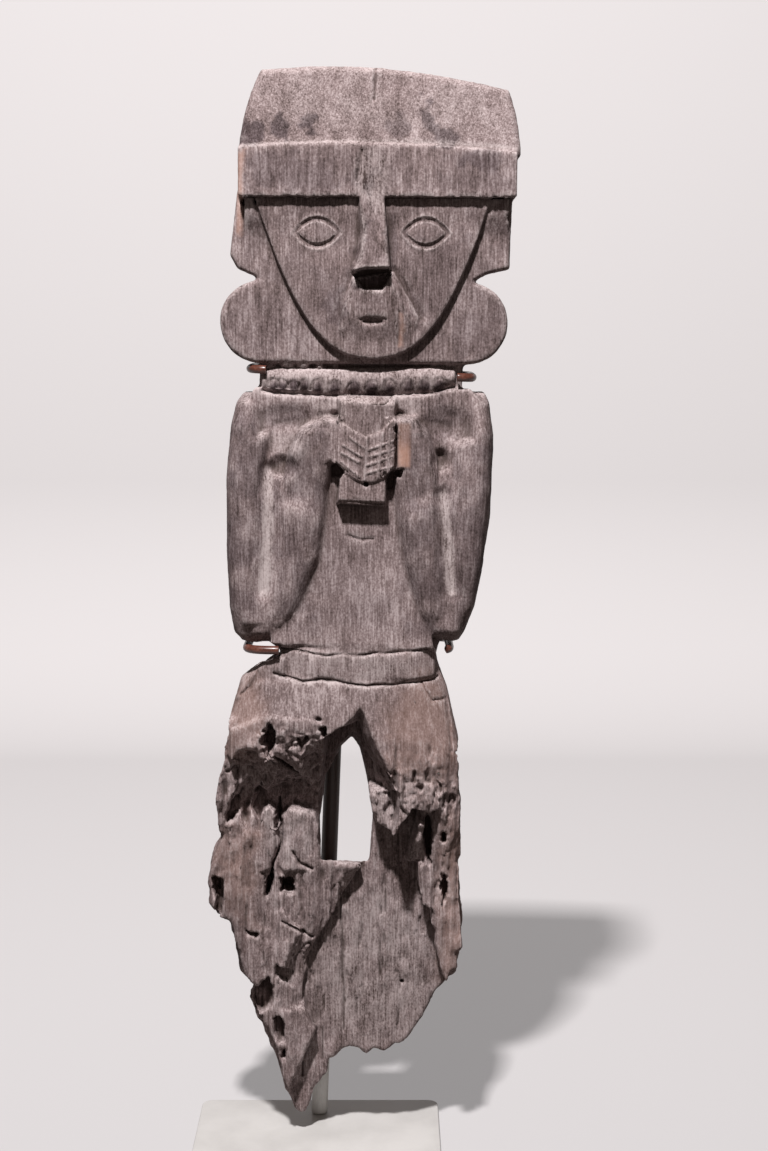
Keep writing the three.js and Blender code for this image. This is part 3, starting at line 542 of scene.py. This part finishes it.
put_places(body, places)

# The weather works on every face: long fibres, small chips, tool marks that have gone soft.
outward = normals_of(body)
quiet = 1 - 0.75 * ramp(-22, -30, places[:, 1])
wear = 0.14 * grain(places, 1.9, 16, 21) + 0.13 * noise(places / 2.0, 22) + 0.3 * noise(places / 15, 23)
leg_wear = 0.4 * grain(places, 1.7, 30, 24) + 0.3 * noise(places / 2.4, 25) + 0.5 * noise(places / 9, 26)
wear += worn * leg_wear
wear += 0.2 * ramp(145, 148, hz) * noise(places / 2.6, 35)
places += outward * (quiet * wear)[:, None]
places = soften(places, links, np.full(len(places), 0.25), 2)
put_places(body, places)
bpy.ops.object.shade_smooth()

MOST_TRIANGLES = 192000
thin = figure.modifiers.new("thin", "DECIMATE")
thin.ratio = min(1.0, MOST_TRIANGLES / (2 * len(body.polygons)))
bpy.ops.object.modifier_apply(modifier="thin")

# Colour masks for the wood, kept as point values: painted shade in hollows, granular cap,
# dust with painted highlights, stains with painted shade, ruddy and fresh wood.
body = figure.data
links = read(body.edges, "vertices", 2, np.int32)
places = places_of(body)
outward = normals_of(body)
u, v = places[:, 0], places[:, 2]
hx, hz = head_places(places)


def hollow_at(rounds):
    """How deep each place lies below its surroundings, wider ones for more rounds."""
    level = places.copy()
    a, b = links.T
    valence = np.bincount(a, minlength=len(level)) + np.bincount(b, minlength=len(level))
    for _ in range(rounds):
        for k in range(3):
            total = np.bincount(a, level[b, k], len(level)) + np.bincount(b, level[a, k], len(level))
            level[:, k] = 0.5 * level[:, k] + 0.5 * total / valence
    return ((level - places) * outward).sum(axis=1)


def on_lines():
    """Pale lines: dust on eye rims and finger ridges, painted highlight on the band's top ledge."""
    held = on_eye_rims(0.13, 1)
    for ridge in RIDGES:
        held = np.maximum(held, 0.8 * ramp(1.2, 0.2, line_gap(u, v, ridge)))
    band_top = 146 + 4 * (1 - ((hx - 4.5) / 94.5) ** 2)
    held = np.maximum(held, ramp(2.2, 0.3, np.abs(hz - band_top)))
    return held * (places[:, 1] > 5)


fine, broad = hollow_at(4), hollow_at(40)
blot = noise(places / 16, 31) + 0.6 * noise(places / 6, 32) + 0.35 * noise(places / 2.5, 33)
# Dark stains on the cap, band and face, with painted shade among them as marked.
STAINS_AND_SHADE = [
    ((-82, 155), (8, 9), 1.0),
    ((-61, 158), (7, 9), 1.0),
    ((-44, 160), (9, 11), 1.0),
    ((40, 161), (7, 12), 1.0),
    ((54, 153), (10, 6), 1.0),
    ((16, 158), (13, 9), 0.6),
    ((75, 138), (20, 8), 0.8),
    ((70, 122), (26, 10), 0.4),
    ((-45, 128), (36, 15), 0.6),
    ((45, 60), (24, 28), 0.45),
    # painted shade left of the left crease
    ((-26, 42), (9, 17), 0.75),
    ((-75, 28), (22, 20), 0.35),
    ((78, 28), (22, 22), 0.45),
    # darker on both sides of the nose
    ((-3, 86), (6, 26), 0.85),
    ((14, 84), (4, 24), 0.6),
    # painted shadow under the nose
    ((0, 56), (13, 7), 1.0),
]
stain_and_shade = np.zeros(len(places))
for at, half, strong in STAINS_AND_SHADE:
    stain_and_shade = np.maximum(stain_and_shade, strong * ramp(0.1, -0.1, oval(hx, hz, at, half) - 0.85 + 0.75 * blot))
outer_arm = np.maximum(ramp(-66, -88, u), ramp(62, 86, u)) * ramp(365, 385, v) * ramp(545, 520, v)
arm = ramp(15, 18, places[:, 1]) * ramp(372, 384, v) * ramp(540, 520, v) * ramp(20, 32, np.abs(u - 2))
stain_and_shade = np.maximum(stain_and_shade, np.maximum(0.7 * arm, 0.85 * outer_arm) * ramp(-1.2, 0.6, blot))
# Painted shade in the hollows under both shoulders, and a dark patch low on the left edge.
for at, half in (((-60, 528), (18, 9)), ((52, 530), (15, 13)), ((-84, 150), (12, 40))):
    stain_and_shade = np.maximum(stain_and_shade, 0.5 * ramp(0.5, -0.4, oval(u, v, at, half) - 1 + 0.4 * blot))
belly = ramp(376, 390, v) * ramp(470, 440, v) * ramp(60, 40, np.abs(u))
stain_and_shade = np.maximum(stain_and_shade, 0.3 * belly * ramp(-1, 0.6, blot))
stain_and_shade = np.maximum(stain_and_shade, 0.35 * ramp(0, 6, hz) * ramp(148, 142, hz) * ramp(-0.6, 0.8, blot))
RUDDY = [((-78, 318), (16, 30)), ((50, 312), (26, 36)), ((76, 180), (10, 60)), ((-78, 200), (14, 40))]
ruddy = np.zeros(len(places))
for at, half in RUDDY:
    ruddy = np.maximum(ruddy, ramp(0.7, -0.7, oval(u, v, at, half) - 1 + 0.4 * blot))
FRESH = [
    ([(-92, 88), (-88, 88), (-86, 143), (-92, 143)], 0.42),
    ([(19.8, 13), (22.6, 13), (22, 36), (20, 36)], 0.4),
]
fresh = np.zeros(len(places))
for points, strong in FRESH:
    fresh = np.maximum(fresh, strong * inside(hx + blot, hz + 3 * blot, points, 1.5))
WRIST = [(23.5, 527), (32, 527), (32.5, 497), (24.5, 497)]
fresh = np.maximum(fresh, inside(u, v, WRIST, 1.5) * (0.25 + 0.4 * ramp(518, 506, v)))
pale_here = np.zeros(len(places))
DUSTY = [((0, 690), (9, 18)), ((-23, 534), (8, 9)), ((30, 535), (8, 9)), ((-52, 508), (10, 8)),
         ((20, 258), (18, 16))]
PALE = [((-37, 226), (11, 22), 0.7), ((-56, 228), (6, 20), 0.7), ((24, 122), (48, 56), 0.6),
        ((0, 355), (54, 10), 0.6), ((48, 228), (6, 18), 0.7), ((40, 265), (20, 18), 0.5),
        ((6, 748), (92, 26), 0.3)]
for at, half, strong in PALE:
    dust_here = strong * ramp(0.5, -0.4, oval(u, v, at, half) - 1 + 0.4 * blot) * ramp(-1.4, 0.6, blot)
    pale_here = np.maximum(pale_here, dust_here)
rubbed_pale = 0.8 - 0.45 * ramp(312, 285, v) - 0.35 * ramp(372, 384, v) * ramp(545, 535, v)
# Pale on high spots, less on the legs and arms, and on faces that turn up.
dust_and_highlight = ramp(0.1, 0.5, -fine) * rubbed_pale + 0.5 * ramp(0.35, 0.9, outward[:, 2])
for at, half in DUSTY:
    dust_and_highlight = np.maximum(dust_and_highlight, 0.6 * ramp(0.8, -0.3, oval(u, v, at, half) - 1 + 0.5 * blot))
# Painted shade: small and broad hollows darkened; none in the arm grooves and less on the collar roll.
hollow = np.clip(ramp(0.1, 0.8, fine) * 0.6 + ramp(0.3, 2.2, broad) * 0.7, 0, 1)
for groove in (GROOVE_LEFT, GROOVE_RIGHT):
    in_groove = ramp(4.6, 2.2, line_gap(u + 1.2 * blot + 0.8 * grain(places, 1.6, 12, 34), v, groove))
    dust_and_highlight = np.maximum(dust_and_highlight, in_groove)
    hollow *= 1 - in_groove
    stain_and_shade *= 1 - in_groove
dust_and_highlight = np.maximum(dust_and_highlight, pale_here)
# Painted highlight: the top of the beaker's rim made pale where the light falls on it.
beaker_rim = inside(u, v, BEAKER, 1) * ramp(540, 542, v + 0.012 * (u - 3) ** 2 - 3)
dust_and_highlight = np.maximum(dust_and_highlight, 0.7 * beaker_rim * (places[:, 1] > 5))
dust_and_highlight = np.maximum(dust_and_highlight, 0.8 * on_lines())
# Collar beads painted dark as the shade on their lower halves; the roll between them dusty.
bead_here = np.zeros(len(places))
collar_across = (v - np.interp(u, collar_u, collar_v)) / COLLAR_HALF
for at in BEADS_U:
    from_bead = np.hypot((u - at) / 4.6, (collar_across + 0.42) / 0.6) + 0.25 * blot
    bead_here = np.maximum(bead_here, ramp(1.15, 0.5, from_bead))
on_roll = ramp(1.05, 0.95, np.abs(collar_across)) * (places[:, 1] > 5)
stain_and_shade = np.maximum(stain_and_shade, on_roll * bead_here)
hollow *= 1 - 0.6 * on_roll
dust_and_highlight = np.maximum(dust_and_highlight * (1 - on_roll * bead_here), 0.55 * on_roll * (1 - bead_here))
masks = {
    "hollow": hollow,
    "granular": ramp(145, 148, hz) * (places[:, 1] > -20),
    "dust_and_highlight": np.clip(dust_and_highlight, 0, 1),
    "stain_and_shade": np.clip(stain_and_shade, 0, 1),
    "ruddy": np.clip(ruddy, 0, 1),
    "fresh": np.clip(fresh, 0, 1),
}
for name, values in masks.items():
    layer = body.attributes.new(name, "FLOAT", "POINT")
    layer.data.foreach_set("value", values.astype(np.float32))

wood = bpy.data.materials.new("weathered_wood")
wood.use_nodes = True
tree = wood.node_tree
wood_shader = tree.nodes["Principled BSDF"]
wood_shader.inputs["Specular IOR Level"].default_value = 0.22


def add(kind, **settings):
    node = tree.nodes.new(kind)
    for name, value in settings.items():
        setattr(node, name, value)
    return node


def link(output, socket):
    tree.links.new(output, socket)


def noise_node(along, scale, detail, rough):
    """Noise on the figure's own axes, drawn out along the leaning grain."""
    mapping = add("ShaderNodeMapping")
    mapping.inputs["Rotation"].default_value = (0, -LEAN, 0)
    mapping.inputs["Scale"].default_value = (1, 1, along)
    link(coordinates.outputs["Object"], mapping.inputs["Vector"])
    made = add("ShaderNodeTexNoise")
    made.inputs["Scale"].default_value = scale
    made.inputs["Detail"].default_value = detail
    made.inputs["Roughness"].default_value = rough
    link(mapping.outputs["Vector"], made.inputs["Vector"])
    return made.outputs["Fac"]


def math_node(operation, a, b):
    made = add("ShaderNodeMath", operation=operation)
    for socket, value in zip(made.inputs, (a, b)):
        if isinstance(value, (int, float)):
            socket.default_value = value
        else:
            link(value, socket)
    return made.outputs["Value"]


def ramp_node(fac, stops):
    made = add("ShaderNodeValToRGB")
    points = made.color_ramp.elements
    while len(points) < len(stops):
        points.new(0.5)
    for point, (at, colour) in zip(points, stops):
        point.position = at
        point.color = (*colour, 1)
    link(fac, made.inputs["Fac"])
    return made.outputs["Color"]


def mix_node(fac, a, b, blend="MIX"):
    made = add("ShaderNodeMix", data_type="RGBA", blend_type=blend)
    for socket, value in ((made.inputs["Factor"], fac), (made.inputs["A"], a), (made.inputs["B"], b)):
        if isinstance(value, tuple):
            socket.default_value = (*value, 1)
        elif isinstance(value, (int, float)):
            socket.default_value = value
        else:
            link(value, socket)
    return made.outputs["Result"]


coordinates = add("ShaderNodeTexCoord")
mask = {name: add("ShaderNodeAttribute", attribute_name=name).outputs["Fac"] for name in masks}
streaks = noise_node(0.06, 820, 4, 0.6)
specks = noise_node(0.7, 820, 3, 0.65)
pebbles = noise_node(0.9, 1000, 3, 0.6)
patches = noise_node(0.45, 130, 5, 0.65)
clouds = noise_node(0.5, 28, 5, 0.6)
WOOD_DARK = (0.060, 0.041, 0.037)
WOOD_MID = (0.212, 0.160, 0.158)
WOOD_PALE = (0.47, 0.395, 0.395)
to_pebbles = math_node("MULTIPLY", mask["granular"], math_node("SUBTRACT", pebbles, streaks))
fibres = math_node("ADD", streaks, to_pebbles)
tone = -0.135
for part, weight in ((fibres, 0.38), (specks, 0.35), (patches, 0.26), (clouds, 0.28)):
    tone = math_node("ADD", math_node("MULTIPLY", part, weight), tone)
colour = ramp_node(tone, [(0.37, WOOD_DARK), (0.50, WOOD_MID), (0.64, WOOD_PALE)])
colour = mix_node(math_node("MULTIPLY", mask["ruddy"], 0.4), colour, (0.31, 0.195, 0.16))
broken = math_node("ADD", math_node("MULTIPLY", math_node("SUBTRACT", tone, 0.5), 5.0), 0.55)
# Stains, and painted shade under the nose, beside a crease, in the chest hollows and on the beads.
colour = mix_node(math_node("MULTIPLY", mask["stain_and_shade"], 0.95), colour, (0.36, 0.34, 0.36), "MULTIPLY")
# Dust, and painted highlights on the band's top and the beaker's rim.
colour = mix_node(math_node("MULTIPLY", mask["dust_and_highlight"], broken), colour, (0.46, 0.40, 0.395))
# Painted shade darkens the hollows.
colour = mix_node(math_node("MULTIPLY", mask["hollow"], 0.8), colour, (0.045, 0.031, 0.026))
colour = mix_node(mask["fresh"], colour, (0.47, 0.27, 0.20))
link(colour, wood_shader.inputs["Base Color"])
link(math_node("ADD", math_node("MULTIPLY", specks, 0.16), 0.80), wood_shader.inputs["Roughness"])
bump = add("ShaderNodeBump")
bump.inputs["Strength"].default_value = 0.55
bump.inputs["Distance"].default_value = 0.0009
link(tone, bump.inputs["Height"])
link(bump.outputs["Normal"], wood_shader.inputs["Normal"])
figure.data.materials.clear()
figure.data.materials.append(wood)
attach(figure, "root")
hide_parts("wooden_figure")

# Support rod: a straight steel rod that leans with the figure behind its back. Dark brown paint, and white
# paint on the lowest part, where it meets the foot; its top edge is filed round.
ROD_RADIUS = 0.006
ROD_Y = 0.046
ROD_TOP = 0.585
ROD_FOOT = 0.0063
ROD_BELOW = 0.012
WHITE_TOP = 0.062
rod_half = (ROD_TOP + ROD_BELOW) / 2
rod_middle = (ROD_TOP - ROD_BELOW) / 2
bpy.ops.mesh.primitive_cylinder_add(
    vertices=48,
    radius=ROD_RADIUS,
    depth=2 * rod_half,
    location=(rod_middle * math.sin(LEAN), ROD_Y, FOOT_TOP / 1000 + rod_middle * math.cos(LEAN)),
    rotation=(0, LEAN, 0),
)
rod = bpy.context.object
rod.name = "painted_rod"
bpy.ops.object.transform_apply(location=True, rotation=True, scale=True)
bpy.ops.object.mode_set(mode="EDIT")
bpy.ops.mesh.select_all(action="SELECT")
bpy.ops.mesh.bisect(plane_co=(0, 0, ROD_FOOT), plane_no=(0, 0, 1), clear_inner=True, use_fill=True)
bpy.ops.object.mode_set(mode="OBJECT")
filed = rod.modifiers.new("filed", "BEVEL")
filed.width = 0.0008
filed.segments = 3
filed.limit_method = "ANGLE"
filed.angle_limit = math.radians(50)
bpy.ops.object.modifier_apply(modifier="filed")
bpy.ops.object.shade_smooth_by_angle(angle=math.radians(35))
rod_paint = bpy.data.materials.new("two_tone_rod_paint")
rod_paint.use_nodes = True
tree = rod_paint.node_tree
rod_shader = tree.nodes["Principled BSDF"]
coordinates = add("ShaderNodeTexCoord")
height = add("ShaderNodeSeparateXYZ")
link(coordinates.outputs["Object"], height.inputs["Vector"])
brushed = noise_node(1.0, 160, 3, 0.5)
mottle = noise_node(0.2, 900, 3, 0.6)
uneven = math_node("MULTIPLY", math_node("SUBTRACT", brushed, 0.5), 0.002)
dark_part = math_node("GREATER_THAN", math_node("ADD", height.outputs["Z"], uneven), WHITE_TOP)
white = ramp_node(mottle, [(0.3, (0.52, 0.505, 0.485)), (0.7, (0.62, 0.61, 0.59))])
brown = ramp_node(mottle, [(0.3, (0.026, 0.014, 0.010)), (0.7, (0.050, 0.027, 0.019))])
link(mix_node(dark_part, white, brown), rod_shader.inputs["Base Color"])
link(math_node("ADD", math_node("MULTIPLY", mottle, 0.25), 0.42), rod_shader.inputs["Roughness"])
rod.data.materials.append(rod_paint)
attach(rod, "root")
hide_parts("support_rod")

# Clips: steel wire bent round the figure, one under the head and one under the elbows. It crosses the back,
# passes the neck or waist on both sides and hooks forwards. Glossy red-brown paint, rubbed in places.
WIRE_RADIUS = 3.0
WIRE_BACK = -36.6
WIRE_BEND = 9.0
HOOK_BACK = 13.0
CLIPS = {
    "neck_clip": {
        "height": 559.5, "rise": 0.0, "left": -80.5, "right": 74.0, "tips": ((-69, 13), (63, 13)),
    },
    "waist_clip": {
        "height": 366.7, "rise": 0.04, "left": -76.5, "right": 66.5, "tips": ((-53.6, 19), (64, 14)),
    },
}


def bend(start, corner_at, end, steps):
    t = np.linspace(0, 1, steps)[:, None]
    start, corner_at, end = np.array(start), np.array(corner_at), np.array(end)
    return (1 - t) ** 2 * start + 2 * t * (1 - t) * corner_at + t ** 2 * end


def half_path(side, tip):
    hook = bend(tip, (side, tip[1]), (side, tip[1] - HOOK_BACK), 12)
    inwards = math.copysign(WIRE_BEND, -side)
    turn = bend((side, WIRE_BACK + WIRE_BEND), (side, WIRE_BACK), (side + inwards, WIRE_BACK), 10)
    return np.concatenate((hook, turn))


clip_paint = bpy.data.materials.new("glossy_clip_paint")
clip_paint.use_nodes = True
tree = clip_paint.node_tree
clip_shader = tree.nodes["Principled BSDF"]
coordinates = add("ShaderNodeTexCoord")
rubbed = noise_node(1.0, 420, 4, 0.65)
cloudy = noise_node(1.0, 60, 3, 0.5)
wire_tone = math_node("ADD", math_node("MULTIPLY", rubbed, 0.6), math_node("MULTIPLY", cloudy, 0.4))
wire_stops = [(0.34, (0.045, 0.016, 0.011)), (0.52, (0.105, 0.036, 0.024)), (0.68, (0.20, 0.085, 0.06))]
link(ramp_node(wire_tone, wire_stops), clip_shader.inputs["Base Color"])
link(math_node("ADD", math_node("MULTIPLY", rubbed, 0.35), 0.14), clip_shader.inputs["Roughness"])
for node_name, sizes_of in CLIPS.items():
    left_half = half_path(sizes_of["left"], sizes_of["tips"][0])
    right_half = half_path(sizes_of["right"], sizes_of["tips"][1])[::-1]
    path = np.concatenate((left_half, right_half))
    up = sizes_of["height"] + sizes_of["rise"] * path[:, 0]
    x = (path[:, 0] + AXIS_X) * math.cos(LEAN) + up * math.sin(LEAN)
    z = up * math.cos(LEAN) - (path[:, 0] + AXIS_X) * math.sin(LEAN) + FOOT_TOP
    wire = bpy.data.curves.new(node_name + "_wire", "CURVE")
    wire.dimensions = "3D"
    wire.bevel_depth = WIRE_RADIUS / 1000
    wire.bevel_resolution = 5
    wire.use_fill_caps = True
    line = wire.splines.new("POLY")
    line.points.add(len(path) - 1)
    for point, px, depth, pz in zip(line.points, x, path[:, 1], z):
        point.co = (px / 1000, -depth / 1000, pz / 1000, 1)
    clip = bpy.data.objects.new("bent_" + node_name, wire)
    scene.collection.objects.link(clip)
    bpy.ops.object.select_all(action="DESELECT")
    clip.select_set(True)
    bpy.context.view_layer.objects.active = clip
    bpy.ops.object.convert(target="MESH")
    bpy.ops.object.mode_set(mode="EDIT")
    bpy.ops.mesh.select_all(action="SELECT")
    bpy.ops.mesh.remove_doubles(threshold=1e-5)
    bpy.ops.mesh.normals_make_consistent(inside=False)
    bpy.ops.object.mode_set(mode="OBJECT")
    rounded = clip.modifiers.new("rounded", "BEVEL")
    rounded.width = 0.0012
    rounded.segments = 3
    rounded.limit_method = "ANGLE"
    rounded.angle_limit = math.radians(60)
    bpy.ops.object.modifier_apply(modifier="rounded")
    bpy.ops.object.shade_smooth_by_angle(angle=math.radians(40))
    clip.data.materials.clear()
    clip.data.materials.append(clip_paint)
    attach(clip, "root")
    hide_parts(node_name)

# Foot plate: a flat steel plate with rounded corners and eased edges, sprayed white. It lies on the floor
# and carries the rod; the paint is satin with a faint orange-peel skin and a little dust.
PLATE = (0.180, 0.140, 0.006)
PLATE_CORNER = 0.008
PLATE_EASE = 0.001
bpy.ops.mesh.primitive_cube_add(size=1, location=(0, 0, PLATE[2] / 2), scale=PLATE)
plate = bpy.context.object
plate.name = "white_foot_plate"
bpy.ops.object.transform_apply(location=True, rotation=True, scale=True)
bpy.ops.object.mode_set(mode="EDIT")
bpy.ops.mesh.select_mode(type="EDGE")
bpy.ops.mesh.select_all(action="DESELECT")
bpy.ops.object.mode_set(mode="OBJECT")
for edge in plate.data.edges:
    ends = [plate.data.vertices[i].co for i in edge.vertices]
    edge.select = abs(ends[0].z - ends[1].z) > 0.003
bpy.ops.object.mode_set(mode="EDIT")
bpy.ops.mesh.bevel(offset=PLATE_CORNER, segments=8)
bpy.ops.object.mode_set(mode="OBJECT")
eased = plate.modifiers.new("eased", "BEVEL")
eased.width = PLATE_EASE
eased.segments = 3
eased.limit_method = "ANGLE"
eased.angle_limit = math.radians(50)
bpy.ops.object.modifier_apply(modifier="eased")
bpy.ops.object.shade_smooth_by_angle(angle=math.radians(30))
plate_paint = bpy.data.materials.new("white_satin_paint")
plate_paint.use_nodes = True
tree = plate_paint.node_tree
plate_shader = tree.nodes["Principled BSDF"]
coordinates = add("ShaderNodeTexCoord")
peel = noise_node(1.0, 700, 2, 0.5)
haze = noise_node(1.0, 22, 4, 0.6)
haze_stops = [(0.35, (0.46, 0.453, 0.44)), (0.65, (0.54, 0.533, 0.52))]
link(ramp_node(haze, haze_stops), plate_shader.inputs["Base Color"])
link(math_node("ADD", math_node("MULTIPLY", haze, 0.3), 0.35), plate_shader.inputs["Roughness"])
skin = add("ShaderNodeBump")
skin.inputs["Strength"].default_value = 0.12
skin.inputs["Distance"].default_value = 0.0003
link(peel, skin.inputs["Height"])
link(skin.outputs["Normal"], plate_shader.inputs["Normal"])
plate.data.materials.append(plate_paint)
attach(plate, "root")
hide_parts("foot_plate")
